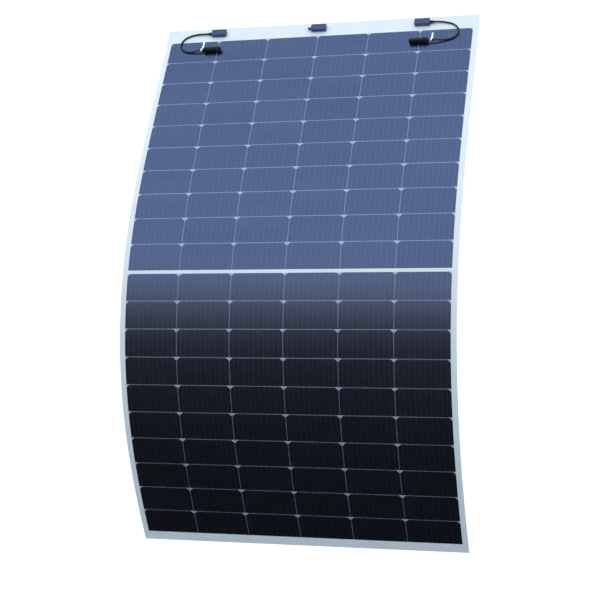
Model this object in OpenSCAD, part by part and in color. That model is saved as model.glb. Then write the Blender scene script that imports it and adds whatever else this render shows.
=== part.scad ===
// Flexible solar sheet: half-cut cells laminated between a polymer back sheet
// and a clear front film, resting face up in a bow. Three junction boxes sit on
// the front of the plain strip at the head (+Y) end, and the two outer ones have
// a short lead with a plug. The sheet is cut at every second row gap into strips
// that turn on one another, which is how it bends.

/* [Cells] */
// Width of a half-cut cell, across the sheet
cell_w = 182; // [150:1:220]
// Length of a half-cut cell, along the sheet
cell_l = 91; // [75:0.5:110]
// Thickness of a cell
cell_t = 0.25; // [0.15:0.05:0.4]
// Chamfer at a cell's two outer corners
cell_chamfer = 9; // [4:0.5:14]
// Gap between the columns of cells
column_gap = 2; // [1:0.5:4]
// Gap between the rows of cells
row_gap = 2.5; // [1.5:0.5:5]
// Plain band between the two halves of the sheet
bus_gap = 12; // [9:1:24]

/* [Laminate] */
// Plain border at each side
side_margin = 19; // [10:1:40]
// Plain strip at the head end, which carries the boxes
head_margin = 60; // [50:1:80]
// Plain strip at the foot end
foot_margin = 35; // [15:1:60]
// Thickness of the back sheet
back_t = 1.2; // [0.8:0.1:2]
// Thickness of the front film, with the layer under it that holds the cells
film_t = 1.3; // [0.9:0.1:2]
// Width of a bus ribbon
ribbon_w = 5; // [3:0.5:6]
// Thickness of a bus ribbon
ribbon_t = 0.3; // [0.2:0.05:0.4]
// Gap at each line where the sheet bends
flex_gap = 0.6; // [0.5:0.1:1.2]

/* [Bow] */
// Radius of the sheet where it bends most
crown_radius = 970; // [800:10:1600]
// Place of that crown along the sheet, from its middle band
crown_at = -240; // [-300:10:0]
// Distance from the crown to where the sheet runs straight
bend_reach = 1050; // [850:10:1200]

/* [Junction boxes] */
// Width of a box
box_w = 54; // [46:1:70]
// Length of a box, along the sheet
box_l = 24; // [20:1:30]
// Height of a box over the film, with its lid
box_h = 14; // [12:0.5:18]
// Wall of a box
box_wall = 1.6; // [1.2:0.1:2.2]
// Thickness of a lid
lid_t = 2; // [1.5:0.1:3]
// Corner radius of a box
box_corner = 3; // [2.5:0.5:5]
// Distance of the outer boxes from the centre line
box_pitch = 372; // [300:1:450]
// Distance of the boxes' centre line from the head edge
box_inset = 28; // [20:1:34]
// Length of a gland outside its box
gland_len = 16; // [10:1:24]

/* [Leads] */
// Diameter of a lead
cable_d = 6; // [5:0.1:6.4]
// Diameter of a connector's body
connector_d = 18; // [17:0.5:19]
// Length of a connector's nut
nut_len = 19; // [17:0.5:24]
// Length of a connector's body in front of its nut
shell_len = 29; // [26:0.5:36]
// Diameter of a connector's contact pin
pin_d = 4; // [3:0.1:4.2]

/* [Hidden] */
columns = 6;
last = 10;                 // strips are numbered from 0 at the foot to 10 at the head
middle = 5;
bond_line = 0.05;          // bond line between two laminated layers
pocket_clear = 0.1;        // side clearance of a cell or a ribbon in its pocket
slide_clear = 0.2;         // clearance between a part and the part round it
arc_fn = 720;
round_fn = 48;

// The sheet, flat
sheet_w = columns * cell_w + (columns - 1) * column_gap + 2 * side_margin;
sheet_t = back_t + film_t;
row_pitch = cell_l + row_gap;
half_l = bus_gap / 2 + 10 * cell_l + 9 * row_gap;
function strip_len(i) =
    i == 0 ? foot_margin + cell_l + row_gap / 2 :
    i == last ? head_margin + cell_l + row_gap / 2 :
    i == middle ? bus_gap + 2 * cell_l + row_gap : 2 * row_pitch;
function strip_start(i) = i == 0 ? -half_l - foot_margin : strip_start(i - 1) + strip_len(i - 1);
function row_starts(i) =
    i == 0 ? [foot_margin] :
    i == last ? [row_gap / 2] :
    i == middle ? [row_gap / 2, row_gap / 2 + cell_l + bus_gap] :
    [row_gap / 2, row_gap / 2 + row_pitch];
function column_start(c) = -sheet_w / 2 + side_margin + c * (cell_w + column_gap);

// Heights through the sheet, from its middle plane
back_low = -sheet_t / 2;
back_high = back_low + back_t;
cell_low = back_high + bond_line;
cell_high = cell_low + cell_t;
film_high = sheet_t / 2;

// The bow: each strip is an arc, and the head strip is flat under the boxes
function bow(i) = let (t = (strip_start(i) + strip_len(i) / 2 - crown_at) / bend_reach)
    abs(t) >= 1 ? 0 : strip_len(i) / crown_radius * 180 / PI * pow(cos(90 * t), 2);
function turn(i) = i == last || bow(i) < 0.5 ? 0 : bow(i);
function radius(i) = strip_len(i) / turn(i) * 180 / PI;

// A station is [y, z, heading] at the start of a strip, on the middle plane
function offset_point(p, h) = [p[0] - h * sin(p[2]), p[1] + h * cos(p[2])];
function next(p, i) = let (a = p[2], b = a - turn(i), l = strip_len(i))
    turn(i) == 0 ? [p[0] + l * cos(a), p[1] + l * sin(a), a] :
    [p[0] + radius(i) * (sin(a) - sin(b)), p[1] + radius(i) * (cos(b) - cos(a)), b];
function level(i) = i == 0 ? [0, 0, 0] : next(level(i - 1), i - 1);
foot_corner = offset_point(level(0), back_low);
head_corner = offset_point(level(last + 1), back_low);
lead = -atan2(head_corner[1] - foot_corner[1], head_corner[0] - foot_corner[0]);
function swing(p) = [p[0] * cos(lead) - p[1] * sin(lead), p[0] * sin(lead) + p[1] * cos(lead)];
function swung(i) = let (p = level(i), q = swing(p)) [q[0], q[1], p[2] + lead];
end_ys = [for (i = [0, last + 1]) for (h = [back_low, film_high]) offset_point(swung(i), h)[0]];
shift_y = -(min(end_ys) + max(end_ys)) / 2;
shift_z = -swing(foot_corner)[1];
stations = [for (i = [0:last + 1]) swung(i) + [shift_y, shift_z, 0]];
function heading(i, u) = stations[i][2] - turn(i) * u / strip_len(i);

// Boxes, in the head frame: X across, Y from the head edge, Z from the film
pad_t = 0.8;
box_xs = [-box_pitch, 0, box_pitch];
shell_h = box_h - pad_t - lid_t;
box_floor = pad_t + 1.5;
gland_z = 6;
gland_d = cable_d + 4;
gland_end = box_w / 2 + gland_len;       // a gland's outer face, from its box's middle
neck_d = cable_d + 2.4;
lead_end = box_w / 2 - box_wall - 4.4;   // a lead's end in its box, from the box's middle
terminal = [7, 9, 3];
terminal_x = lead_end - 0.5 - terminal[0] / 2;
tab = [5, 0.4];
diode_d = 3.6;
diode_z = box_floor + terminal[2] + 0.7;
potting_h = 5.4;

// Connectors, along +X from the nut's rear face
nut_d = connector_d + 1;
stub_d = connector_d - 5;
nose_d = 12.4;
nose_len = 19;
contact_d = pin_d + 1.2;
cable_in = 28;             // depth of a lead in its connector
lying_z = nut_d / 2 + slide_clear;
plug_at = [-420, -104, lying_z];
socket_at = [402, -112, lying_z];
arm = [19, 2, 6];          // latch arm: length, thickness, width
arm_root = 4;              // length of an arm inside the shell
arm_slot = [arm[1] + 1, arm[2] + 0.6];
arm_gap = 1.3;             // room between an arm and the nose

// Routes of the two leads, in the head frame: out of the box, over the film and
// past the sheet's edge, and back into the connector
left_route = concat(
    [for (x = [lead_end, 30, gland_end]) [-box_pitch - x, -box_inset, gland_z]],
    [[-430, -27, 5], [-445, -26, 4], [-460, -27, 3.2], [-475, -30, 3.2], [-489, -36, 3.2],
     [-501, -45, 3.2], [-509, -57, 3.2], [-512, -71, 3.2], [-509, -85, 3.2], [-500, -96, 3.2],
     [-487, -104, 3.2], [-472, -107, 3.6], [-457, -107, 5.2], [-443, -106, 7.6],
     [-431, -104.5, 9.3]],
    [for (x = [0, cable_in / 2, cable_in]) plug_at + [x, 0, 0]]
);
right_route = concat(
    [for (x = [lead_end, 30, gland_end]) [box_pitch + x, -box_inset, gland_z]],
    [[430, -28, 5], [444, -29, 4], [459, -32, 3.2], [474, -37, 3.2], [487, -45, 3.2],
     [497, -56, 3.2], [502, -70, 3.2], [501, -84, 3.2], [493, -96, 3.2], [481, -104, 3.2],
     [466, -108, 3.6], [451, -110, 5.2], [437, -111, 7.4], [424, -112, 9.2],
     [412, -112, 9.7]],
    [for (x = [0, cable_in / 2, cable_in]) socket_at - [x, 0, 0]]
);

function two(n) = n < 10 ? str("0", n) : str(n);
function strip_names(word) = [for (i = [0:last]) str(word, "_", two(i + 1))];
back_names = strip_names("back_sheet");
cell_names = strip_names("cells");
film_names = strip_names("front_film");

// ---- Placing things on the sheet ----

// Put children at distance u along strip i, with Y along the sheet and Z out of its face
module on_strip(i, u) {
    p = stations[i];
    a = heading(i, u);
    if (turn(i) == 0)
        translate([0, p[0] + u * cos(a), p[1] + u * sin(a)]) rotate([a, 0, 0]) children();
    else {
        c = offset_point(p, -radius(i));
        translate([0, c[0] - radius(i) * sin(a), c[1] + radius(i) * cos(a)])
            rotate([a, 0, 0]) children();
    }
}

// A plate in strip i, from u0 to u1 along it, h0 to h1 through it and x0 to x1 across it
module plate(i, u0, u1, h0, h1, x0, x1) {
    if (turn(i) == 0)
        on_strip(i, u0) translate([x0, 0, h0]) cube([x1 - x0, u1 - u0, h1 - h0]);
    else {
        c = offset_point(stations[i], -radius(i));
        translate([0, c[0], c[1]]) rotate([90, 0, 90]) rotate([0, 0, 90 + heading(i, u1)])
            rotate_extrude(angle = turn(i) * (u1 - u0) / strip_len(i), $fn = arc_fn)
                translate([radius(i) + h0, x0]) square([h1 - h0, x1 - x0]);
    }
}

// The full outline of strip i between two heights, with its share of each bend gap
module strip(i, h0, h1) {
    u0 = i == 0 ? 0 : flex_gap / 2;
    u1 = strip_len(i) - (i == last ? 0 : flex_gap / 2);
    plate(i, u0, u1, h0, h1, -sheet_w / 2, sheet_w / 2);
}

// Upright prisms over every cell of strip i, grown by g at their sides
module cell_prisms(i, g = 0) {
    w = cell_w + 2 * g;
    l = cell_l + 2 * g;
    c = cell_chamfer;
    for (u = row_starts(i)) for (n = [0:columns - 1])
        on_strip(i, u + cell_l / 2) translate([column_start(n) - g, -l / 2, -4]) linear_extrude(8)
            polygon([[0, 0], [w, 0], [w, l - c], [w - c, l], [c, l], [0, l - c]]);
}

// The head strip's face, with Y = 0 at the head edge and Z = 0 on the film
module on_head() {
    on_strip(last, strip_len(last)) translate([0, 0, film_high]) children();
}

// ---- The laminate ----

module back_sheet(i) {
    color("gainsboro") strip(i, back_low, back_high);
}

module cells(i) {
    color("midnightblue") intersection() {
        strip(i, cell_low, cell_high);
        cell_prisms(i);
    }
}

// The clear film, and under it the clear layer that fills the gaps between the cells
module front_film(i) {
    color("lightsteelblue", 0.5) {
        difference() {
            strip(i, cell_high + bond_line, film_high);
            ribbons_of(i, pocket_clear);
        }
        difference() {
            strip(i, cell_low, cell_high);
            cell_prisms(i, pocket_clear);
            ribbons_of(i, pocket_clear);
        }
    }
}

module ribbons_of(i, g) {
    if (i == 0) foot_ribbons(g);
    if (i == middle) middle_ribbons(g);
    if (i == last) head_ribbons(g);
}

// A ribbon in strip i from x0 to x1, centred at u, grown by g for its pocket
module ribbon(i, u, x0, x1, g) {
    plate(i, u - ribbon_w / 2 - g, u + ribbon_w / 2 + g,
          cell_low - g, cell_low + ribbon_t + g, x0 - g, x1 + g);
}

// Ribbons that each join a pair of columns
module pair_ribbons(i, u, g) {
    for (c = [0:2:columns - 2])
        ribbon(i, u, column_start(c) + cell_chamfer, column_start(c + 2) - column_gap - cell_chamfer, g);
}

module foot_ribbons(g = 0) {
    pair_ribbons(0, foot_margin - 2 - ribbon_w / 2, g);
}

module middle_ribbons(g = 0) {
    pair_ribbons(middle, strip_len(middle) / 2, g);
}

// Ribbons that end at the boxes, each with a tail up into its box
module head_ribbons(g = 0) {
    u = strip_len(last) - head_margin + 2 + ribbon_w / 2;
    edge = sheet_w / 2 - side_margin - cell_chamfer;
    x_in = terminal_x - tab[0] / 2;
    ends = [-edge, -box_pitch - x_in, -box_pitch + x_in, -x_in,
            x_in, box_pitch - x_in, box_pitch + x_in, edge];
    for (n = [0:2:6]) ribbon(last, u, ends[n], ends[n + 1], g);
    rise_u = strip_len(last) - box_inset;
    for (x = box_xs) for (side = [-1, 1]) {
        tx = x + side * terminal_x;
        plate(last, u, rise_u + tab[1] / 2 + g, cell_low - g, cell_low + ribbon_t + g,
              tx - tab[0] / 2 - g, tx + tab[0] / 2 + g);
        on_head() translate([tx - tab[0] / 2 - g, -box_inset - tab[1] / 2 - g, cell_low - film_high])
            cube([tab[0] + 2 * g, tab[1] + 2 * g, box_floor - cell_low + film_high]);
    }
}

// ---- The junction boxes ----

// A block with round upright corners, centred in X and Y
module rounded_block(w, l, h, r) {
    linear_extrude(h) {
        square([w - 2 * r, l], center = true);
        square([w, l - 2 * r], center = true);
        for (x = [-1, 1]) for (y = [-1, 1])
            translate([x * (w / 2 - r), y * (l / 2 - r)]) circle(r, $fn = round_fn);
    }
}

// Put children at the middle of box n's footprint
module at_box(n) {
    on_head() translate([box_xs[n], -box_inset, 0]) children();
}

// A hole or a rod along X, from x0 to x1
module rod_x(x0, x1, d, y = 0, z = 0) {
    translate([x0, y, z]) rotate([0, 90, 0]) cylinder(d = d, h = x1 - x0, $fn = round_fn);
}

module tab_slots(g) {
    for (side = [-1, 1]) translate([side * terminal_x, 0, 0])
        cube([tab[0] + 2 * g, tab[1] + 2 * g, 20], center = true);
}

// The side of box n that its cable or plug leaves from
function exit_side(n) = n == 2 ? 1 : -1;

module box_shell(n) {
    side = exit_side(n);
    color("slategray") at_box(n) difference() {
        translate([0, 0, pad_t]) rounded_block(box_w, box_l, shell_h, box_corner);
        translate([0, 0, box_floor])
            rounded_block(box_w - 2 * box_wall, box_l - 2 * box_wall, shell_h, box_corner - box_wall);
        translate([side * box_w / 2, 0, 0]) rod_x(-6, 6, neck_d + slide_clear, 0, gland_z);
        tab_slots(slide_clear);
    }
}

module box_lid(n) {
    lip_w = box_w - 2 * box_wall - 2 * slide_clear;
    lip_l = box_l - 2 * box_wall - 2 * slide_clear;
    lip_r = box_corner - box_wall;
    color("lightslategray") at_box(n) translate([0, 0, box_h - lid_t]) {
        rounded_block(box_w, box_l, lid_t, box_corner);
        difference() {
            translate([0, 0, -1.4]) rounded_block(lip_w, lip_l, 1.5, lip_r);
            translate([0, 0, -2]) rounded_block(lip_w - 2.4, lip_l - 2.4, 2, 0.4);
        }
    }
}

module box_adhesive() {
    color("white") for (n = [0:2]) at_box(n) difference() {
        rounded_block(box_w - 3, box_l - 3, pad_t, box_corner - 1);
        tab_slots(slide_clear);
    }
}

// Two clamps in each box, grown by g where the potting flows round them
module terminal_blocks(g = 0) {
    for (side = [-1, 1]) translate([side * terminal_x, 0, box_floor + terminal[2] / 2])
        cube([terminal[0] + 2 * g, terminal[1] + 2 * g, terminal[2] + 2 * g], center = true);
}

// The crimp that joins a lead to its clamp
module crimp(n, g = 0) {
    if (n != 1) mirror([exit_side(n) < 0 ? 1 : 0, 0, 0])
        rod_x(terminal_x - 2, lead_end - bond_line + g, 3 + 2 * g, 0, gland_z);
}

module terminals() {
    color("goldenrod") for (n = [0:2]) at_box(n) {
        terminal_blocks();
        crimp(n);
    }
}

// A diode and its two legs, which lie over the clamps
module diode(g = 0) {
    rod_x(-4, 4, diode_d + 2 * g, -2.6, diode_z);
    rod_x(-terminal_x + 1, terminal_x - 1, 1 + 2 * g, -2.6, diode_z);
}

module bypass_diodes() {
    color("black") for (n = [0:2]) at_box(n) diode();
}

module potting() {
    w = box_w - 2 * box_wall - 2 * bond_line;
    l = box_l - 2 * box_wall - 2 * bond_line;
    color("dimgray") for (n = [0:2]) at_box(n) difference() {
        translate([0, 0, box_floor]) rounded_block(w, l, potting_h, box_corner - box_wall);
        terminal_blocks(bond_line);
        diode(bond_line);
        crimp(n, bond_line);
        lead_room(n);
    }
}

// Room in box n's potting for the end of its lead or plug
module lead_room(n) {
    mirror([exit_side(n) < 0 ? 1 : 0, 0, 0])
        rod_x(lead_end - bond_line, box_w / 2, neck_d + slide_clear, 0, gland_z);
}

// A moulded boot round a lead, necked through the wall of box n
module gland(n) {
    color("black") at_box(n) mirror([exit_side(n) < 0 ? 1 : 0, 0, 0])
        translate([box_w / 2, 0, gland_z]) rotate([0, 90, 0]) difference() {
            union() {
                translate([0, 0, -box_wall - 0.8]) cylinder(d = neck_d, h = box_wall + 2, $fn = round_fn);
                cylinder(d = gland_d, h = 3, $fn = round_fn);
                translate([0, 0, 3]) cylinder(d1 = gland_d, d2 = cable_d + 1.6, h = gland_len - 3, $fn = round_fn);
            }
            translate([0, 0, -5]) cylinder(d = cable_d + 2 * slide_clear, h = gland_len + 10, $fn = round_fn);
        }
}

// Closes the unused cable hole of the centre box
module blank_plug() {
    color("slategray") at_box(1) translate([-box_w / 2, 0, gland_z]) rotate([0, -90, 0]) {
        translate([0, 0, -box_wall - 0.8]) cylinder(d = neck_d, h = box_wall + 2, $fn = round_fn);
        cylinder(d = gland_d - 1, h = gland_len - 4, $fn = round_fn);
    }
}

// ---- The leads ----

function unit(v) = v / norm(v);
function along(path, k) = unit(path[min(k + 1, len(path) - 1)] - path[max(k - 1, 0)]);

// A tube swept along a route: one ring of points at each of its points
module tube(path, d, sides = 12) {
    rings = len(path);
    points = [for (k = [0:rings - 1]) let (t = along(path, k), s = unit(cross([0, 0, 1], t)), n = cross(t, s))
        for (j = [0:sides - 1]) path[k] + d / 2 * (cos(360 * j / sides) * s + sin(360 * j / sides) * n)];
    walls = [for (k = [0:rings - 2]) for (j = [0:sides - 1]) let (m = (j + 1) % sides)
        [k * sides + j, (k + 1) * sides + j, (k + 1) * sides + m, k * sides + m]];
    ends = [[for (j = [0:sides - 1]) j], [for (j = [sides - 1:-1:0]) (rings - 1) * sides + j]];
    polyhedron(points, concat(walls, ends), convexity = 6);
}

module cable_left() {
    color("black") on_head() tube(left_route, cable_d);
}

module cable_right() {
    color("black") on_head() tube(right_route, cable_d);
}

// Put children in a connector's own frame: +X from its nut to its nose
module at_plug() {
    on_head() translate(plug_at) children();
}

module at_socket() {
    on_head() translate(socket_at) rotate([0, 0, 180]) children();
}

// A ribbed nut with a tapered cable end
module nut() {
    neck = 5;
    difference() {
        union() {
            rotate([0, 90, 0]) cylinder(d1 = cable_d + 5, d2 = nut_d - 1, h = neck, $fn = round_fn);
            rod_x(neck, nut_len, nut_d - 1, 0, 0);
            for (a = [0:30:330]) rotate([a, 0, 0])
                translate([neck + 1, -1, nut_d / 2 - 1.5]) cube([nut_len - neck - 2, 2, 1.5]);
        }
        rod_x(-1, nut_len, cable_d + 2 * slide_clear);
        rod_x(neck + 2, nut_len + 1, stub_d + 2 * slide_clear);
    }
}

// The stub that the nut screws on, and the shell in front of it
module shell(d) {
    rod_x(nut_len - 10, nut_len + 2, stub_d);
    rod_x(nut_len + 0.4, nut_len + shell_len, d);
}

module shell_bores(contact_end) {
    rod_x(0, cable_in, cable_d + 2 * slide_clear);
    rod_x(cable_in - 1, contact_end, contact_d + 2 * bond_line);
}

module plug_shell() {
    tip = nut_len + shell_len;
    color("black") at_plug() difference() {
        union() {
            shell(connector_d);
            rod_x(tip - 1, tip + nose_len, nose_d);
        }
        shell_bores(tip + nose_len + 1);
        for (side = [-1, 1]) translate([tip - arm_root - 0.3, side * (nose_d / 2 + arm_gap + arm[1] / 2), 0])
            translate([0, -arm_slot[0] / 2, -arm_slot[1] / 2]) cube([arm_root + 1, arm_slot[0], arm_slot[1]]);
    }
}

module plug_nut() {
    color("dimgray") at_plug() nut();
}

// A sprung tube that takes the mating pin
module plug_contact() {
    tip = nut_len + shell_len + nose_len;
    color("silver") at_plug() difference() {
        rod_x(cable_in, tip - 2, contact_d);
        rod_x(tip - 20, tip, pin_d + 0.2);
    }
}

// A latch arm beside the nose, with its barb outwards
module latch_arm(side) {
    x0 = nut_len + shell_len - arm_root;
    y0 = nose_d / 2 + arm_gap;
    color("dimgray") at_plug() mirror([0, side < 0 ? 1 : 0, 0]) {
        translate([x0, y0, -arm[2] / 2]) cube(arm);
        translate([x0 + arm[0] - 5, y0 + arm[1], -arm[2] / 2])
            linear_extrude(arm[2]) polygon([[0, -0.1], [5, -0.1], [0, 1.4]]);
    }
}

module latch_arm_front() {
    latch_arm(-1);
}

module latch_arm_back() {
    latch_arm(1);
}

module socket_shell() {
    tip = nut_len + shell_len + nose_len;
    mouth = nose_len + 2;
    color("black") at_socket() difference() {
        union() {
            shell(connector_d);
            rod_x(nut_len + shell_len - 1, tip, connector_d - 1);
        }
        shell_bores(tip);
        rod_x(tip - mouth, tip + 1, nose_d + 2 * slide_clear);
        for (side = [-1, 1]) translate([tip - nose_len, side * (nose_d / 2 + arm_gap + 2 - slide_clear), 0])
            cube([2 * nose_len, 4, arm_slot[1]], center = true);
    }
}

module socket_nut() {
    color("dimgray") at_socket() nut();
}

// The contact pin, in the bottom of the socket's mouth
module socket_pin() {
    tip = nut_len + shell_len + nose_len;
    color("silver") at_socket() {
        rod_x(cable_in, tip - nose_len - 2, contact_d);
        rod_x(tip - nose_len - 3, tip - 6, pin_d);
    }
}

// A blank marker strip round each lead, with its tail laid on the sheet
module tag(x, y, z, tail) {
    w = 6;
    drop = 14;
    fall = atan2(z - 0.9, drop);
    translate([x, y, 0]) {
        difference() {
            rod_x(-w / 2, w / 2, cable_d + 2.4, 0, z);
            rod_x(-w / 2 - 1, w / 2 + 1, cable_d + 1, 0, z);
        }
        translate([-w / 2, cable_d / 2 + 0.9, z]) rotate([-fall, 0, 0])
            translate([0, 0, -0.5]) cube([w, norm([drop, z - 0.9]) + 0.3, 0.5]);
        translate([-w / 2, cable_d / 2 + 0.9 + drop - 0.4, 0.3]) cube([w, tail - drop, 0.5]);
    }
}

module cable_tags() {
    color("white") on_head() {
        tag(-426, -104.2, 9.5, 46);
        tag(412, -112, 9.7, 36);
    }
}

for (i = [0:last]) {
    back_sheet(i);
    cells(i);
    front_film(i);
}
color("silver") foot_ribbons();  // bus_ribbon_foot
color("silver") middle_ribbons();  // bus_ribbon_middle
color("silver") head_ribbons();  // bus_ribbon_head
box_shell(0);  // box_left
box_shell(1);  // box_centre
box_shell(2);  // box_right
box_lid(0);  // lid_left
box_lid(1);  // lid_centre
box_lid(2);  // lid_right
box_adhesive();
terminals();
bypass_diodes();
potting();
blank_plug();
gland(0);  // gland_left
gland(2);  // gland_right
cable_left();
cable_right();
plug_shell();
plug_nut();
plug_contact();
latch_arm_front();
latch_arm_back();
socket_shell();
socket_nut();
socket_pin();
cable_tags();
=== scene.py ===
import math

import bpy
import numpy as np
from mathutils import Matrix, Vector


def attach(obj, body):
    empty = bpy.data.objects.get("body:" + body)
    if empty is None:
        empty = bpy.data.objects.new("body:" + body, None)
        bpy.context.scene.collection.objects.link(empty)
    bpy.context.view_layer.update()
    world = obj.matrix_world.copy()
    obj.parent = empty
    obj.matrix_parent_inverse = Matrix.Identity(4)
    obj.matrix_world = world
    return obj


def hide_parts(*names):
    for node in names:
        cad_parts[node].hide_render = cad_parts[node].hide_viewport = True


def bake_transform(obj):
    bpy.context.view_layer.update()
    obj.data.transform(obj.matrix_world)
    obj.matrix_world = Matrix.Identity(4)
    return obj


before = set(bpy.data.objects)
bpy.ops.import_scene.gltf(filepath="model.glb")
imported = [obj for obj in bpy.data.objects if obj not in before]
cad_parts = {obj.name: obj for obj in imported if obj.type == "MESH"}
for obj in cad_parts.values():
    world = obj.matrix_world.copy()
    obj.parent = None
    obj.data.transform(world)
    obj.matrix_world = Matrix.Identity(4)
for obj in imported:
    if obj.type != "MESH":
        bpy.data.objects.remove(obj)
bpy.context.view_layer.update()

# ---- Camera ----
# A long lens, high over the sheet and a little to its right, turned so that the head end
# of the sheet is uppermost in its view.

camera = bpy.data.objects.new("camera", bpy.data.cameras.new("camera"))
bpy.context.scene.collection.objects.link(camera)
camera.data.sensor_width = 36
camera.data.lens = 88.8
camera.data.clip_end = 60
camera_at = Vector((1.3816, -0.7458, 4.8949))
camera_forward = Vector((-0.2765, 0.1303, -0.9522)).normalized()
camera_up = Vector((0.0025, 0.9908, 0.1348))
camera_right = camera_forward.cross(camera_up).normalized()
camera_up = camera_right.cross(camera_forward)
camera.matrix_world = Matrix((
    (camera_right.x, camera_up.x, -camera_forward.x, camera_at.x),
    (camera_right.y, camera_up.y, -camera_forward.y, camera_at.y),
    (camera_right.z, camera_up.z, -camera_forward.z, camera_at.z),
    (0, 0, 0, 1),
))
bpy.context.scene.camera = camera
bpy.context.scene.view_settings.view_transform = "Standard"

# ---- The sheet's bow ----
# The laminate is made flat and rests in a bow on its two short ends. What is on it is
# worked out flat, in millimetres across the sheet, along it from the foot edge and up from
# its middle plane, and is then laid on the bow, which is eleven arcs of about two rows each.

MM = 0.001
COLUMNS, ROWS = 6, 20
CELL_W, CELL_L, CELL_CHAMFER = 182, 91, 9
COLUMN_GAP, ROW_GAP, BUS_GAP = 2, 2.5, 12
SIDE_MARGIN, HEAD_MARGIN, FOOT_MARGIN = 19, 60, 35
BACK_T, FILM_T = 1.2, 1.3
SHEET_T = BACK_T + FILM_T
SHEET_W = COLUMNS * CELL_W + (COLUMNS - 1) * COLUMN_GAP + 2 * SIDE_MARGIN
ROW_PITCH = CELL_L + ROW_GAP
COLUMN_PITCH = CELL_W + COLUMN_GAP
CROWN_RADIUS, CROWN_AT, BEND_REACH = 970, -240, 1050
LEAST_TURN = 0.5  # degrees; a strip that would turn less lies flat

strip_lengths = [FOOT_MARGIN + CELL_L + ROW_GAP / 2] + 4 * [2 * ROW_PITCH]
strip_lengths += [BUS_GAP + 2 * CELL_L + ROW_GAP] + 4 * [2 * ROW_PITCH]
strip_lengths += [HEAD_MARGIN + CELL_L + ROW_GAP / 2]
strip_starts = [sum(strip_lengths[:i]) for i in range(len(strip_lengths))]
SHEET_L = sum(strip_lengths)
bus_middle = strip_starts[5] + strip_lengths[5] / 2


def strip_turn(i):
    """How far strip i turns from end to end, in radians. The head strip is flat."""
    reach = (strip_starts[i] + strip_lengths[i] / 2 - bus_middle - CROWN_AT) / BEND_REACH
    turn = strip_lengths[i] / CROWN_RADIUS * math.cos(math.pi / 2 * reach) ** 2
    return 0 if abs(reach) >= 1 or math.degrees(turn) < LEAST_TURN or i == 10 else turn


turns = [strip_turn(i) for i in range(11)]


def stations_from(y, z, heading):
    """The place and heading at the start of each strip and at the head edge."""
    stations = [(y, z, heading)]
    for length, turn in zip(strip_lengths, turns):
        y, z, a = stations[-1]
        b = a - turn
        if turn:
            radius = length / turn
            y += radius * (math.sin(a) - math.sin(b))
            z += radius * (math.cos(b) - math.cos(a))
        else:
            y, z = y + length * math.cos(a), z + length * math.sin(a)
        stations.append((y, z, b))
    return np.array(stations)


def under_face(station):
    """The point of the back face under a station."""
    y, z, a = station
    return np.array((y + SHEET_T / 2 * math.sin(a), z - SHEET_T / 2 * math.cos(a)))


level = stations_from(0, 0, 0)
rise = under_face(level[-1]) - under_face(level[0])
stations = stations_from(0, 0, -math.atan2(rise[1], rise[0]))
edges = [y - h * math.sin(a) for y, z, a in (stations[0], stations[-1])
         for h in (-SHEET_T / 2, SHEET_T / 2)]
stations[:, 0] -= (min(edges) + max(edges)) / 2
stations[:, 1] -= under_face(stations[0])[1]


def bowed(points):
    """Flat points in mm, as (across, along, up), laid on the bow, in metres."""
    points = np.asarray(points, float).reshape(-1, 3)
    strip = np.clip(np.searchsorted(strip_starts, points[:, 1], side="right") - 1, 0, 10)
    y0, z0, a0 = stations[strip].T
    length, turn = np.array(strip_lengths)[strip], np.array(turns)[strip]
    u = points[:, 1] - np.array(strip_starts)[strip]
    a = a0 - turn * u / length
    radius = np.where(turn > 0, length / np.where(turn > 0, turn, 1), 0)
    y = np.where(turn > 0, y0 + radius * (np.sin(a0) - np.sin(a)), y0 + u * np.cos(a0))
    z = np.where(turn > 0, z0 + radius * (np.cos(a) - np.cos(a0)), z0 + u * np.sin(a0))
    up = points[:, 2]
    return np.stack([points[:, 0], y - up * np.sin(a), z + up * np.cos(a)], axis=1) * MM


# ---- The two leads ----
# Each outer box has a short single-core lead, 6 mm over a dull black jacket. It leaves its
# gland, curls round over the head strip and comes back to a connector that lies on the cells.

head_y, head_z, head_slope = stations[-1]
head_frame = (
    Matrix.Scale(MM, 4)
    @ Matrix.Translation((0, head_y, head_z))
    @ Matrix.Rotation(head_slope, 4, "X")
    @ Matrix.Translation((0, 0, SHEET_T / 2))
)


def on_head(x, y, z):
    """A point by the head edge: mm across, in from the edge (negative) and up from the film."""
    return head_frame @ Vector((x, y, z))


def linear(hex_colour):
    """An sRGB hex colour as linear red, green, blue and alpha."""
    values = [int(hex_colour[i:i + 2], 16) / 255 for i in (1, 3, 5)]
    return tuple(v / 12.92 if v <= 0.04045 else ((v + 0.055) / 1.055) ** 2.4
                 for v in values) + (1,)


def add(tree, kind, settings=None, inputs=None):
    """Adds a node with its settings, and gives each input a value or a link.

    The setting "stops" is a ramp's (place, colour) list, each colour in hex or linear.
    """
    node = tree.nodes.new(kind)
    for name, value in (settings or {}).items():
        if name != "stops":
            setattr(node, name, value)
            continue
        for i, (place, colour) in enumerate(value):
            elements = node.color_ramp.elements
            stop = elements[i] if i < 2 else elements.new(place)
            stop.position = place
            stop.color = linear(colour) if isinstance(colour, str) else (*colour, 1)
    for name, value in (inputs or {}).items():
        if isinstance(value, bpy.types.NodeSocket):
            tree.links.new(value, node.inputs[name])
        else:
            node.inputs[name].default_value = value
    return node


def new_material(name, **finish):
    """An empty Principled material, with what is the same all over set on its shader."""
    material = bpy.data.materials.new(name)
    material.use_nodes = True
    tree = material.node_tree
    shader = tree.nodes["Principled BSDF"]
    for socket, value in finish.items():
        shader.inputs[socket.replace("_", " ")].default_value = value
    return material, tree, shader


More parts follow.
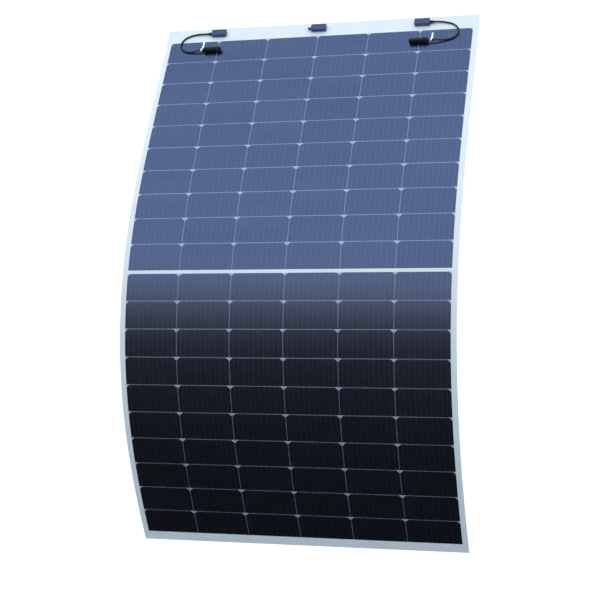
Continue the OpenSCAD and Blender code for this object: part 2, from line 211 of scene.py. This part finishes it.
def moulded(name, dark, light, roughness, grain_mm, depth_mm, cloud_mm=12, **finish):
    """A moulded or extruded polymer: cloudy colour, uneven gloss and a fine skin grain."""
    material, tree, shader = new_material(name, **finish)
    place = add(tree, "ShaderNodeTexCoord").outputs["Object"]
    cloud = add(tree, "ShaderNodeTexNoise", None,
                {"Vector": place, "Scale": 1 / (cloud_mm * MM), "Detail": 3})
    grain = add(tree, "ShaderNodeTexNoise", None,
                {"Vector": place, "Scale": 1 / (grain_mm * MM), "Detail": 2})
    colour = add(tree, "ShaderNodeValToRGB", {"stops": [(0.3, dark), (0.7, light)]},
                 {"Fac": cloud.outputs["Fac"]})
    tree.links.new(colour.outputs["Color"], shader.inputs["Base Color"])
    gloss = add(tree, "ShaderNodeMapRange", None,
                {"Value": cloud.outputs["Fac"],
                 "To Min": roughness - 0.06, "To Max": roughness + 0.06})
    tree.links.new(gloss.outputs["Result"], shader.inputs["Roughness"])
    bump = add(tree, "ShaderNodeBump", None,
               {"Height": grain.outputs["Fac"], "Strength": 0.4, "Distance": depth_mm * MM})
    tree.links.new(bump.outputs["Normal"], shader.inputs["Normal"])
    return material


CABLE_D = 6
INTO_GLAND, INTO_NUT = 10, 8   # how far the drawn lead reaches into the pieces at its ends
BOX_W, BOX_L, BOX_H, BOX_WALL, LID_T = 54, 24, 14, 1.6, 2
BOX_CORNER, BOX_PITCH, BOX_INSET, PAD_T = 3, 372, 28, 0.8
GLAND_LEN, GLAND_Z = 16, 6
GLAND_END = BOX_W / 2 + GLAND_LEN
STRIP_BACK = 4.4   # how far the jacket goes into the box, past its wall
LEAD_END = BOX_W / 2 - BOX_WALL - STRIP_BACK
CABLE_IN = 28
LYING_Z = 9.7
PLUG_AT, SOCKET_AT = (-420, -104, LYING_Z), (402, -112, LYING_Z)

routes = {
    "left": [(-BOX_PITCH - x, -BOX_INSET, GLAND_Z) for x in (LEAD_END, 30, GLAND_END)] + [
        (-430, -27, 5), (-445, -26, 4), (-460, -27, 3.2), (-475, -30, 3.2), (-489, -36, 3.2),
        (-501, -45, 3.2), (-509, -57, 3.2), (-512, -71, 3.2), (-509, -85, 3.2), (-500, -96, 3.2),
        (-487, -104, 3.2), (-472, -107, 3.6), (-457, -107, 5.2), (-443, -106, 7.6),
        (-431, -104.5, 9.3)] + [
        (PLUG_AT[0] + x, PLUG_AT[1], LYING_Z) for x in (0, CABLE_IN / 2, CABLE_IN)],
    "right": [(BOX_PITCH + x, -BOX_INSET, GLAND_Z) for x in (LEAD_END, 30, GLAND_END)] + [
        (430, -28, 5), (444, -29, 4), (459, -32, 3.2), (474, -37, 3.2), (487, -45, 3.2),
        (497, -56, 3.2), (502, -70, 3.2), (501, -84, 3.2), (493, -96, 3.2), (481, -104, 3.2),
        (466, -108, 3.6), (451, -110, 5.2), (437, -111, 7.4), (424, -112, 9.2),
        (412, -112, 9.7)] + [
        (SOCKET_AT[0] - x, SOCKET_AT[1], LYING_Z) for x in (0, CABLE_IN / 2, CABLE_IN)],
}


def smooth_route(points, steps=4):
    """A Catmull-Rom line through the route's points."""
    before = 2 * np.array(points[0]) - points[1]
    after = 2 * np.array(points[-1]) - points[-2]
    p = np.array([before, *points, after])
    line = []
    for k in range(1, len(p) - 2):
        for t in np.arange(steps) / steps:
            line.append(0.5 * (2 * p[k] + (p[k + 1] - p[k - 1]) * t
                               + (2 * p[k - 1] - 5 * p[k] + 4 * p[k + 1] - p[k + 2]) * t ** 2
                               + (3 * p[k] - p[k - 1] - 3 * p[k + 1] + p[k + 2]) * t ** 3))
    return line + [p[-2]]


# Extruded cross-linked polyolefin: black gone slightly grey, dull, with a faint drawn skin.
jacket = moulded("extruded cross-linked jacket", "#24262E", "#30323B", 0.5, 0.5, 0.03,
                 Specular_IOR_Level=0.4)
for side, route in routes.items():
    # the visible lead starts in the gland's mouth and ends in the connector's nut
    start, stop = route[2], route[-3]
    out = 1 if side == "right" else -1
    visible = [(start[0] - out * INTO_GLAND, *start[1:])] + route[2:-2]
    visible.append((stop[0] - out * INTO_NUT, *stop[1:]))
    line = [on_head(*p) for p in smooth_route(visible)]
    curve = bpy.data.curves.new(f"lead_{side}", "CURVE")
    curve.dimensions = "3D"
    curve.bevel_depth = CABLE_D / 2 * MM
    curve.bevel_resolution = 6
    curve.use_fill_caps = True
    spline = curve.splines.new("POLY")
    spline.points.add(len(line) - 1)
    for point, at in zip(spline.points, line):
        point.co = (*at, 1)
    lead = bpy.data.objects.new(f"lead_{side}", curve)
    bpy.context.scene.collection.objects.link(lead)
    curve.materials.append(jacket)
    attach(lead, "strip_11")
    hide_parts(f"cable_{side}")

# ---- The laminate ----
# A white fibre-reinforced back sheet and a satin front film, fused round the cells. One
# length of it lies across each bend line, from the middle of a strip to the middle of the
# next, and bends there; the plain foot and head ends are pieces of their own.

LAMINATE_TOP = SHEET_T / 2 - 0.25   # the cells and wires stand proud of it, up to the film's face
FACET = 6                           # length of a facet along the bow

field_start, field_end = FOOT_MARGIN, SHEET_L - HEAD_MARGIN
strip_middles = [start + length / 2 for start, length in zip(strip_starts, strip_lengths)]
laminate_ends = [0, field_start, *strip_middles[1:10], field_end, SHEET_L]


def flat_steps(start, end):
    """Even steps from start to end, each about a facet long."""
    return np.linspace(start, end, max(1, round((end - start) / FACET)) + 1)


def plate(sections, z0, z1):
    """A closed plate through (left, right, along) sections: its points and outward faces."""
    points = [p for x0, x1, y in sections
              for p in ((x0, y, z0), (x1, y, z0), (x1, y, z1), (x0, y, z1))]
    faces = [(4 * k + j, 4 * k + 4 + j, 4 * k + 4 + (j + 1) % 4, 4 * k + (j + 1) % 4)
             for k in range(len(sections) - 1) for j in range(4)]
    n = len(points) - 4
    return points, faces + [(0, 1, 2, 3), (n + 3, n + 2, n + 1, n)]


def mesh_object(name, points, faces, material):
    """A new object at the origin, with its place in its mesh."""
    mesh = bpy.data.meshes.new(name)
    mesh.from_pydata([tuple(map(float, p)) for p in points], [], faces)
    mesh.materials.append(material)
    piece = bpy.data.objects.new(name, mesh)
    bpy.context.scene.collection.objects.link(piece)
    return piece


def lay_on_bow(piece):
    """Keeps the flat places, in metres, as a map for the materials, and bends the mesh."""
    mesh = piece.data
    flat = np.empty(3 * len(mesh.vertices))
    mesh.vertices.foreach_get("co", flat)
    flat = flat.reshape(-1, 3)
    corner = np.empty(len(mesh.loops), int)
    mesh.loops.foreach_get("vertex_index", corner)
    layer = mesh.uv_layers.get("flat") or mesh.uv_layers.new(name="flat")
    layer.data.foreach_set("uv", (flat[corner][:, :2] * MM).ravel())
    mesh.vertices.foreach_set("co", bowed(flat).ravel())
    mesh.update()


def bend_at(piece):
    """Bakes a piece's place into its mesh."""
    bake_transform(piece)


def between(tree, value, low, high, soft=0.0002):
    """1 where value is between low and high, in metres, with soft edges."""
    up = add(tree, "ShaderNodeMapRange", None,
             {"Value": value, "From Min": low - soft, "From Max": low + soft})
    down = add(tree, "ShaderNodeMapRange", None,
               {"Value": value, "From Min": high - soft, "From Max": high + soft,
                "To Min": 1, "To Max": 0})
    both = add(tree, "ShaderNodeMath", {"operation": "MULTIPLY"},
               {0: up.outputs["Result"], 1: down.outputs["Result"]})
    return both.outputs["Value"]


# White film over a white back sheet: bright, satin and faintly blue, with the embossed film's 1.2
# mm dimples. The narrow lines between the cells are painted a darker blue-grey, a painted shade of
# the back sheet between the cells, and get more of the film's gloss; the open corners of the cells
# get less of both.
DIMPLE_PITCH = 1.2
LINE_GLOSS = 0.8                    # share of gloss in the lines
CORNER_NEAR, CORNER_FAR = 1.3, 11   # where an open corner lies, off the middle of a column line
CORNER_WHITE = 0.45                 # share of the painted shade and the gloss which a corner lacks
laminate_material, tree, shader = new_material("embossed white laminate",
                                               Coat_Weight=0.3, Coat_Roughness=0.25)
flat_place = add(tree, "ShaderNodeUVMap", {"uv_map": "flat"}).outputs["UV"]
split = add(tree, "ShaderNodeSeparateXYZ", None, {0: flat_place})
across, along = split.outputs["X"], split.outputs["Y"]
half_field = (SHEET_W / 2 - SIDE_MARGIN) * MM
in_columns = between(tree, across, -half_field, half_field)
bus_low, bus_high = (bus_middle + s * BUS_GAP / 2 for s in (-1, 1))
in_rows = add(tree, "ShaderNodeMath", {"operation": "MAXIMUM"},
              {0: between(tree, along, field_start * MM, bus_low * MM),
               1: between(tree, along, bus_high * MM, field_end * MM)}).outputs["Value"]
facing = add(tree, "ShaderNodeSeparateXYZ", None,
             {0: add(tree, "ShaderNodeNewGeometry").outputs["Normal"]})
in_field = add(tree, "ShaderNodeMath", {"operation": "MULTIPLY"}, {0: in_columns, 1: in_rows})
on_top = add(tree, "ShaderNodeMath", {"operation": "GREATER_THAN"},
             {0: facing.outputs["Z"], 1: 0.2})
off_column_line = add(tree, "ShaderNodeMath", {"operation": "PINGPONG"},
                      {0: across, 1: COLUMN_PITCH / 2 * MM}).outputs["Value"]
in_corner = between(tree, off_column_line, CORNER_NEAR * MM, CORNER_FAR * MM)
# the lines between the cells, where shade is painted into the colour and more gloss is given; the
# open corners get less of both
painted_shade_and_gloss_lines = add(tree, "ShaderNodeMath", {"operation": "MULTIPLY_ADD"},
               {0: in_corner, 1: -CORNER_WHITE, 2: 1})
for mask in (in_field, on_top):
    painted_shade_and_gloss_lines = add(tree, "ShaderNodeMath", {"operation": "MULTIPLY"},
                   {0: painted_shade_and_gloss_lines.outputs["Value"], 1: mask.outputs["Value"]})
painted_shade_and_gloss_lines = painted_shade_and_gloss_lines.outputs["Value"]
object_place = add(tree, "ShaderNodeTexCoord").outputs["Object"]
cloud = add(tree, "ShaderNodeTexNoise", None,
            {"Vector": object_place, "Scale": 1 / (60 * MM), "Detail": 4})
white = add(tree, "ShaderNodeValToRGB", {"stops": [(0.3, "#C6CCD3"), (0.7, "#CBD1D8")]},
            {"Fac": cloud.outputs["Fac"]})
# painted shade: the darker blue-grey that the lines between the cells are painted, for the back
# sheet in shade between them
painted_gap_shade = add(tree, "ShaderNodeValToRGB", {"stops": [(0.3, "#A8B7DF"), (0.7, "#AEBDE6")]},
            {"Fac": cloud.outputs["Fac"]})
colour = add(tree, "ShaderNodeMix", {"data_type": "RGBA"},
             {"Factor": painted_shade_and_gloss_lines, 6: white.outputs["Color"], 7: painted_gap_shade.outputs["Color"]})
film_gloss = add(tree, "ShaderNodeMath", {"operation": "MULTIPLY"}, {0: painted_shade_and_gloss_lines, 1: LINE_GLOSS})
tree.links.new(film_gloss.outputs[0], shader.inputs["Metallic"])
tree.links.new(colour.outputs[2], shader.inputs["Base Color"])
gloss = add(tree, "ShaderNodeMapRange", None,
            {"Value": cloud.outputs["Fac"], "To Min": 0.38, "To Max": 0.5})
tree.links.new(gloss.outputs["Result"], shader.inputs["Roughness"])
dimples = add(tree, "ShaderNodeTexVoronoi", None,
              {"Vector": object_place, "Scale": 1 / (DIMPLE_PITCH * MM)})
bump = add(tree, "ShaderNodeBump", None,
           {"Height": dimples.outputs["Distance"], "Strength": 0.15, "Distance": 0.1 * MM})
tree.links.new(bump.outputs["Normal"], shader.inputs["Normal"])

laminate_names = ["foot", *(f"{k:02d}" for k in range(1, 11)), "head"]
for k, name in enumerate(laminate_names):
    sections = [(-SHEET_W / 2, SHEET_W / 2, y) for y in flat_steps(*laminate_ends[k:k + 2])]
    laminate = mesh_object(f"laminate_{name}", *plate(sections, -SHEET_T / 2, LAMINATE_TOP),
                           laminate_material)
    lay_on_bow(laminate)
    if name == "foot":
        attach(laminate, "strip_01")
    elif name == "head":
        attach(laminate, "strip_11")
    else:
        bend_at(laminate)
    if k > 0:
        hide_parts(f"back_sheet_{k:02d}", f"front_film_{k:02d}")

# ---- The cells ----
# Half-cut mono silicon wafers with a blue anti-reflection coat, laid in six columns. Two
# corners of each are chamfered, and each pair that shares a bend line is one set of pieces.

CELL_TOP = SHEET_T / 2 - 0.1
CELL_UNDER = LAMINATE_TOP - 0.15


def row_start(row):
    """Where a row of cells starts, along the flat sheet."""
    return FOOT_MARGIN + row * ROW_PITCH + (BUS_GAP - ROW_GAP if row >= ROWS / 2 else 0)


def cell_plate(row):
    """One cell of the first column, in facets along the bow."""
    x0, y0 = -SHEET_W / 2 + SIDE_MARGIN, row_start(row)
    sections = []
    for y in (*flat_steps(0, CELL_L - CELL_CHAMFER), CELL_L):
        inset = max(0, y - CELL_L + CELL_CHAMFER)
        sections.append((x0 + inset, x0 + CELL_W - inset, y0 + y))
    return plate(sections, CELL_UNDER, CELL_TOP)


def repeat_across():
    """A tree that repeats its mesh across the sheet, in groups, and gives it a material."""
    tree = bpy.data.node_groups.new("repeat across", "GeometryNodeTree")
    face = tree.interface
    face.new_socket("Geometry", in_out="INPUT", socket_type="NodeSocketGeometry")
    for name, kind in (("Count", "Int"), ("Pitch", "Float"), ("Groups", "Int"),
                       ("Group Pitch", "Float"), ("Material", "Material")):
        face.new_socket(name, in_out="INPUT", socket_type=f"NodeSocket{kind}")
    face.new_socket("Geometry", in_out="OUTPUT", socket_type="NodeSocketGeometry")
    given = add(tree, "NodeGroupInput").outputs
    shape = given["Geometry"]
    for count, pitch in (("Count", "Pitch"), ("Groups", "Group Pitch")):
        step = add(tree, "ShaderNodeCombineXYZ", None, {"X": given[pitch]})
        line = add(tree, "GeometryNodeMeshLine", {"mode": "OFFSET"},
                   {"Count": given[count], "Offset": step.outputs[0]})
        shape = add(tree, "GeometryNodeInstanceOnPoints", None,
                    {"Points": line.outputs[0], "Instance": shape}).outputs[0]
    solid = add(tree, "GeometryNodeRealizeInstances", None, {0: shape})
    finished = add(tree, "GeometryNodeSetMaterial", None,
                   {"Geometry": solid.outputs[0], "Material": given["Material"]})
    add(tree, "NodeGroupOutput", None, {0: finished.outputs[0]})
    return tree


across_tree = repeat_across()


def generated(piece, tree, values):
    """Runs a geometry tree on a piece and keeps the result as its plain mesh."""
    modifier = piece.modifiers.new("made", "NODES")
    modifier.node_group = tree
    for socket in tree.interface.items_tree:
        if socket.in_out == "INPUT" and socket.name in values:
            modifier[socket.identifier] = values[socket.name]
    graph = bpy.context.evaluated_depsgraph_get()
    mesh = bpy.data.meshes.new_from_object(piece.evaluated_get(graph), depsgraph=graph)
    mesh.name = piece.name
    piece.modifiers.clear()
    piece.data = mesh


# Coated silicon: a dark mirror that tints what it reflects blue, a little different from
# cell to cell, with screen-printed fingers drawn at 1.5 mm so that they show close up. A
# band pattern runs through 20 radians in each unit, which its scale allows for.
FINGER_PITCH = 1.5
cell_material, tree, shader = new_material("coated mono silicon", Metallic=1.0)
flat_place = add(tree, "ShaderNodeUVMap", {"uv_map": "flat"}).outputs["UV"]
split = add(tree, "ShaderNodeSeparateXYZ", None, {0: flat_place})
column = add(tree, "ShaderNodeMath", {"operation": "FLOOR"},
             {0: add(tree, "ShaderNodeMath", {"operation": "DIVIDE"},
                     {0: split.outputs["X"], 1: COLUMN_PITCH * MM}).outputs[0]})
row = add(tree, "ShaderNodeMath", {"operation": "FLOOR"},
          {0: add(tree, "ShaderNodeMath", {"operation": "DIVIDE"},
                  {0: split.outputs["Y"], 1: ROW_PITCH * MM}).outputs[0]})
cell_index = add(tree, "ShaderNodeCombineXYZ", None, {"X": column.outputs[0], "Y": row.outputs[0]})
lot = add(tree, "ShaderNodeTexWhiteNoise", {"noise_dimensions": "2D"},
          {"Vector": cell_index.outputs[0]})
coat = add(tree, "ShaderNodeValToRGB", {"stops": [(0.0, "#667EB1"), (1.0, "#6A82B6")]},
           {"Fac": lot.outputs["Value"]})
finger = add(tree, "ShaderNodeTexWave",
             {"wave_type": "BANDS", "bands_direction": "Y", "wave_profile": "SIN"},
             {"Vector": flat_place, "Scale": 2 * math.pi / (20 * FINGER_PITCH * MM)})
fine = add(tree, "ShaderNodeValToRGB", {"stops": [(0.86, "#000000"), (0.98, "#FFFFFF")]},
           {"Fac": finger.outputs["Fac"]})
colour = add(tree, "ShaderNodeMix", {"data_type": "RGBA", "blend_type": "SCREEN"},
             {"Factor": 0.05, 6: coat.outputs["Color"], 7: fine.outputs["Color"]})
tree.links.new(colour.outputs[2], shader.inputs["Base Color"])
haze = add(tree, "ShaderNodeTexNoise", None,
           {"Vector": flat_place, "Scale": 1 / (40 * MM), "Detail": 3})
gloss = add(tree, "ShaderNodeMapRange", None,
            {"Value": haze.outputs["Fac"], "To Min": 0.24, "To Max": 0.3})
tree.links.new(gloss.outputs["Result"], shader.inputs["Roughness"])
bump = add(tree, "ShaderNodeBump", None,
           {"Height": haze.outputs["Fac"], "Strength": 0.1, "Distance": 0.3 * MM})
tree.links.new(bump.outputs["Normal"], shader.inputs["Normal"])


def joined(shapes):
    """Several (points, faces) as one."""
    points, faces = [], []
    for p, f in shapes:
        faces += [tuple(i + len(points) for i in face) for face in f]
        points += p
    return points, faces


for k in range(1, 11):
    pair = joined([cell_plate(row) for row in (2 * k - 2, 2 * k - 1)])
    cells = mesh_object(f"cell_rows_{k:02d}", *pair, cell_material)
    generated(cells, across_tree, {"Count": 1, "Pitch": 0.0, "Groups": COLUMNS,
                                   "Group Pitch": float(COLUMN_PITCH), "Material": cell_material})
    lay_on_bow(cells)
    bend_at(cells)
    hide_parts(f"cells_{k:02d}")
    if k == 10:
        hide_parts("cells_11")

# ---- The wires ----
# Ten round tinned copper wires run over each cell, under the film. They are 0.3 mm thick
# and are drawn 0.5 mm wide so that they show.

WIRES, WIRE_PITCH, WIRE_W = 10, 17.1, 0.5
WIRE_TOP, WIRE_SHORT = SHEET_T / 2, 1
# Tinned copper: a soft pale metal, slightly blue under the film and a little tarnished.
wire_material, tree, shader = new_material("tinned copper wire", Metallic=1.0)
place = add(tree, "ShaderNodeTexCoord").outputs["Object"]
tarnish = add(tree, "ShaderNodeTexNoise", None,
              {"Vector": place, "Scale": 1 / (9 * MM), "Detail": 2})
colour = add(tree, "ShaderNodeValToRGB", {"stops": [(0.3, "#97A4C6"), (0.7, "#AFBAD6")]},
             {"Fac": tarnish.outputs["Fac"]})
tree.links.new(colour.outputs["Color"], shader.inputs["Base Color"])
gloss = add(tree, "ShaderNodeMapRange", None,
            {"Value": tarnish.outputs["Fac"], "To Min": 0.3, "To Max": 0.45})
tree.links.new(gloss.outputs["Result"], shader.inputs["Roughness"])

wire_x = -SHEET_W / 2 + SIDE_MARGIN + (CELL_W - (WIRES - 1) * WIRE_PITCH) / 2
for k in range(1, 11):
    shapes = []
    for row in (2 * k - 2, 2 * k - 1):
        ys = flat_steps(row_start(row) + WIRE_SHORT, row_start(row) + CELL_L - WIRE_SHORT)
        shapes.append(plate([(wire_x - WIRE_W / 2, wire_x + WIRE_W / 2, y) for y in ys],
                            CELL_TOP - 0.05, WIRE_TOP))
    wires = mesh_object(f"wires_{k:02d}", *joined(shapes), wire_material)
    generated(wires, across_tree, {"Count": WIRES, "Pitch": WIRE_PITCH, "Groups": COLUMNS,
                                   "Group Pitch": float(COLUMN_PITCH), "Material": wire_material})
    lay_on_bow(wires)
    bend_at(wires)

# ---- Bus ribbons ----
# Flat tinned copper under the white film: at the foot, in the middle band, and at the head,
# where their tails rise into the boxes.


def give_finish(material, names):
    """Gives each of these nodes of the frame one material."""
    for name in names:
        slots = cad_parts[name].data.materials
        slots.clear()
        slots.append(material)


give_finish(wire_material, ["bus_ribbon_foot", "bus_ribbon_middle", "bus_ribbon_head"])

# ---- Junction boxes ----
# Three low boxes of dark moulded polyphenylene oxide, bonded on the head strip. Each lid
# has a sunk panel and snaps on by four latches, with a fine seam round it.

LATCH_W, LATCH_T, LATCH_X = 6, 1.2, 15
# Glass-filled polyphenylene oxide: a dark blue-grey with a satin, finely spark-eroded skin.
box_material = moulded("moulded glass-filled polyphenylene", "#2E406C", "#344773",
                       0.36, 0.8, 0.05)


def rounded_outline(w, l, r, steps=6):
    """Points round a rectangle with round corners, anticlockwise, centred."""
    points = []
    for cx, cy, a0 in ((1, 1, 0), (-1, 1, 90), (-1, -1, 180), (1, -1, 270)):
        for k in range(steps + 1):
            a = math.radians(a0 + 90 * k / steps)
            points.append((cx * (w / 2 - r) + r * math.cos(a), cy * (l / 2 - r) + r * math.sin(a)))
    return points


def stacked(levels):
    """A closed solid through outlines of equal count, each given as (outline, height)."""
    n = len(levels[0][0])
    points = [(x, y, z) for outline, z in levels for x, y in outline]
    faces = [(k * n + j, k * n + (j + 1) % n, (k + 1) * n + (j + 1) % n, (k + 1) * n + j)
             for k in range(len(levels) - 1) for j in range(n)]
    faces += [tuple(range(n - 1, -1, -1)), tuple(range(len(points) - n, len(points)))]
    return points, faces


def soft_block(w, l, z0, z1, r, edge, panel=0):
    """A block with round corners and a rounded top edge, and a sunk panel this far in."""
    levels = [(rounded_outline(w, l, r), z0)]
    for k in range(5):
        a = math.radians(90 * k / 4)
        inset = edge * (1 - math.cos(a))
        outline = rounded_outline(w - 2 * inset, l - 2 * inset, r - inset)
        levels.append((outline, z1 - edge + edge * math.sin(a)))
    if panel:
        levels += [(rounded_outline(w - 2 * inset, l - 2 * inset, 1.5), z1 - depth)
                   for inset, depth in ((panel, 0), (panel + 0.3, 0.5))]
    return stacked(levels)


def moved(shape, x, y):
    """A shape (points, faces) slid over the head strip."""
    points, faces = shape
    return [(p[0] + x, p[1] + y, p[2]) for p in points], faces


def box_piece(name, shape, smooth, node):
    """A box's shell or lid, given in mm by the head edge, made in its place on the bow."""
    points, faces = shape
    piece = mesh_object(name, [on_head(*p) for p in points], faces, box_material)
    if smooth:
        piece.data.shade_smooth()
        piece.data.set_sharp_from_angle(angle=math.radians(35))
    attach(piece, "strip_11")
    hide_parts(node)


SHELL_TOP = BOX_H - LID_T
SEAM, LID_EDGE, PANEL_IN = 0.4, 1.0, 3
for x, side in ((-BOX_PITCH, "left"), (0, "centre"), (BOX_PITCH, "right")):
    shell = stacked([
        (rounded_outline(BOX_W, BOX_L, BOX_CORNER), PAD_T),
        (rounded_outline(BOX_W, BOX_L, BOX_CORNER), SHELL_TOP - SEAM - 0.1),
        (rounded_outline(BOX_W - 2 * SEAM, BOX_L - 2 * SEAM, BOX_CORNER - SEAM), SHELL_TOP - 0.1),
    ])
    box_piece(f"box_body_{side}", moved(shell, x, -BOX_INSET), False, f"box_{side}")
    lid = soft_block(BOX_W, BOX_L, SHELL_TOP, BOX_H, BOX_CORNER, LID_EDGE, panel=PANEL_IN)
    latches = [moved(soft_block(LATCH_W, LATCH_T, SHELL_TOP - 5, SHELL_TOP + 1.2, 0.5, 0.3),
                     latch_x, latch_side * BOX_L / 2)
               for latch_x in (-LATCH_X, LATCH_X) for latch_side in (-1, 1)]
    lid = moved(joined([lid, *latches]), x, -BOX_INSET)
    box_piece(f"box_lid_{side}", lid, True, f"lid_{side}")

# ---- What is bonded, soldered or screwed on ----
# The pads, terminals, diodes and potting of the boxes, the glands and the connectors keep
# their shapes from the frame. Each is given the finish that it leaves the mould or bath with.

finishes = [
    # a bead that cured under a skin: off-white, satin, a little uneven
    (moulded("cured silicone bead", "#D5D8DA", "#E2E5E6", 0.5, 1.5, 0.05), ["box_adhesive"]),
    # the same tinned copper as the wires
    (wire_material, ["terminals", "plug_contact", "socket_pin"]),
    # black, half matt, with the fine pits of a moulded case
    (moulded("moulded epoxy", "#141416", "#1D1D20", 0.45, 0.5, 0.02), ["bypass_diodes"]),
    # dark grey and glossy, with the slow ripples of a poured gel
    (moulded("poured silicone", "#3A3C40", "#46484C", 0.3, 4, 0.05), ["potting"]),
    (box_material, ["blank_plug"]),
    # dull black, darker than the jacket
    (moulded("moulded rubber", "#16171A", "#1F2024", 0.6, 0.6, 0.03),
     ["gland_left", "gland_right"]),
    # bright white, smooth and slightly glossy
    (moulded("white vinyl film", "#E4EAEE", "#F0F4F6", 0.35, 2, 0.01), ["cable_tags"]),
    # near black with the low sheen of a textured mould
    (moulded("moulded polyamide", "#111216", "#191A1F", 0.42, 0.7, 0.04),
     ["plug_shell", "plug_nut", "latch_arm_front", "latch_arm_back",
      "socket_shell", "socket_nut"]),
]
for material, names in finishes:
    give_finish(material, names)

# ---- Floor and light ----
# A white lit table under a broad soft sky that is brightest beyond the head end, with one
# soft lamp there. What the cells mirror is bright overhead and dark beyond the foot.

FLOOR_HALF = 30
corners = [(x * FLOOR_HALF, y * FLOOR_HALF, 0) for x, y in ((-1, -1), (1, -1), (1, 1), (-1, 1))]
floor = mesh_object("floor", corners, [(0, 1, 2, 3)], None)
# A matt white table top, lit a little from within, so that it stays white round the sheet.
floor_material, tree, shader = new_material(
    "lit white table", Roughness=0.9, Specular_IOR_Level=0.1,
    Emission_Color=(1, 1, 1, 1), Emission_Strength=0.35)
place = add(tree, "ShaderNodeTexCoord").outputs["Object"]
patch = add(tree, "ShaderNodeTexNoise", None, {"Vector": place, "Scale": 2.0})
colour = add(tree, "ShaderNodeValToRGB", {"stops": [(0.3, "#FBFBFB"), (0.7, "#FDFDFD")]},
             {"Fac": patch.outputs["Fac"]})
tree.links.new(colour.outputs["Color"], shader.inputs["Base Color"])
floor.data.materials[0] = floor_material
floor.visible_glossy = False

world = bpy.data.worlds.new("sky")
bpy.context.scene.world = world
world.use_nodes = True
tree = world.node_tree
tree.nodes.clear()
direction = add(tree, "ShaderNodeSeparateXYZ", None,
                {0: add(tree, "ShaderNodeTexCoord").outputs["Generated"]})
LEAN = 0.2   # how far the mirrored sky's bright side leans to the right of the head
to_head = add(tree, "ShaderNodeMath", {"operation": "MULTIPLY_ADD"},
              {0: direction.outputs["X"], 1: LEAN, 2: direction.outputs["Y"]}).outputs[0]
mirror_place = add(tree, "ShaderNodeMapRange", None,
                   {"Value": to_head, "From Min": -1, "From Max": 1})
# (how far towards the head, from -1 to 1, and what is mirrored from there)
mirror_stops = [
    (-0.98, (0.0193, 0.0108, 0.0038)), (-0.72, (0.0242, 0.0134, 0.0042)),
    (-0.58, (0.0336, 0.0188, 0.0062)), (-0.41, (0.0385, 0.0182, 0.0071)),
    (-0.22, (0.057, 0.0285, 0.0105)), (-0.01, (0.213, 0.148, 0.085)),
    (0.18, (0.65, 0.58, 0.50)), (0.33, (0.56, 0.555, 0.55)), (1.0, (0.55, 0.55, 0.55))]
mirrored = add(tree, "ShaderNodeValToRGB",
               {"stops": [((towards + 1) / 2, colour) for towards, colour in mirror_stops]},
               {"Fac": mirror_place.outputs[0]})
SKY, SKY_SLOPE, LEAST_SKY = 1.12, 0.95, 0.02   # overhead, its rise to the head, and by the foot
soft = add(tree, "ShaderNodeMath", {"operation": "MULTIPLY_ADD"},
           {0: direction.outputs["Y"], 1: SKY * SKY_SLOPE, 2: SKY})
soft = add(tree, "ShaderNodeMath", {"operation": "MAXIMUM"}, {0: soft.outputs[0], 1: LEAST_SKY})
soft_place = add(tree, "ShaderNodeMapRange", None,
                 {"Value": direction.outputs["Y"], "From Min": -1})
soft_tint = add(tree, "ShaderNodeValToRGB",
                {"stops": [(0.2, (0.72, 0.86, 1.0)), (0.8, (0.87, 0.96, 0.98))]},
                {"Fac": soft_place.outputs[0]})
soft_sky = add(tree, "ShaderNodeBackground", None,
               {"Color": soft_tint.outputs["Color"], "Strength": soft.outputs[0]})
mirror_sky = add(tree, "ShaderNodeBackground", None,
                 {"Color": mirrored.outputs["Color"], "Strength": 1.0})
backdrop = add(tree, "ShaderNodeBackground", None, {"Color": (1, 1, 1, 1), "Strength": 1.0})
light_path = add(tree, "ShaderNodeLightPath")
sky = add(tree, "ShaderNodeMixShader", None,
          {0: light_path.outputs["Is Glossy Ray"],
           1: soft_sky.outputs[0], 2: mirror_sky.outputs[0]})
sky = add(tree, "ShaderNodeMixShader", None,
          {0: light_path.outputs["Is Camera Ray"],
           1: sky.outputs[0], 2: backdrop.outputs[0]})
add(tree, "ShaderNodeOutputWorld", None, {0: sky.outputs[0]})

lamp_data = bpy.data.lights.new("head lamp", "AREA")
lamp_data.shape, lamp_data.size, lamp_data.size_y = "RECTANGLE", 1.6, 1.2
lamp_data.energy = 50
lamp = bpy.data.objects.new("head lamp", lamp_data)
bpy.context.scene.collection.objects.link(lamp)
lamp.location = (-0.3, 4.0, 4.5)
lamp.rotation_euler = (Vector((0, 0.4, 0.1)) - lamp.location).to_track_quat("-Z", "Y").to_euler()
lamp.visible_glossy = False
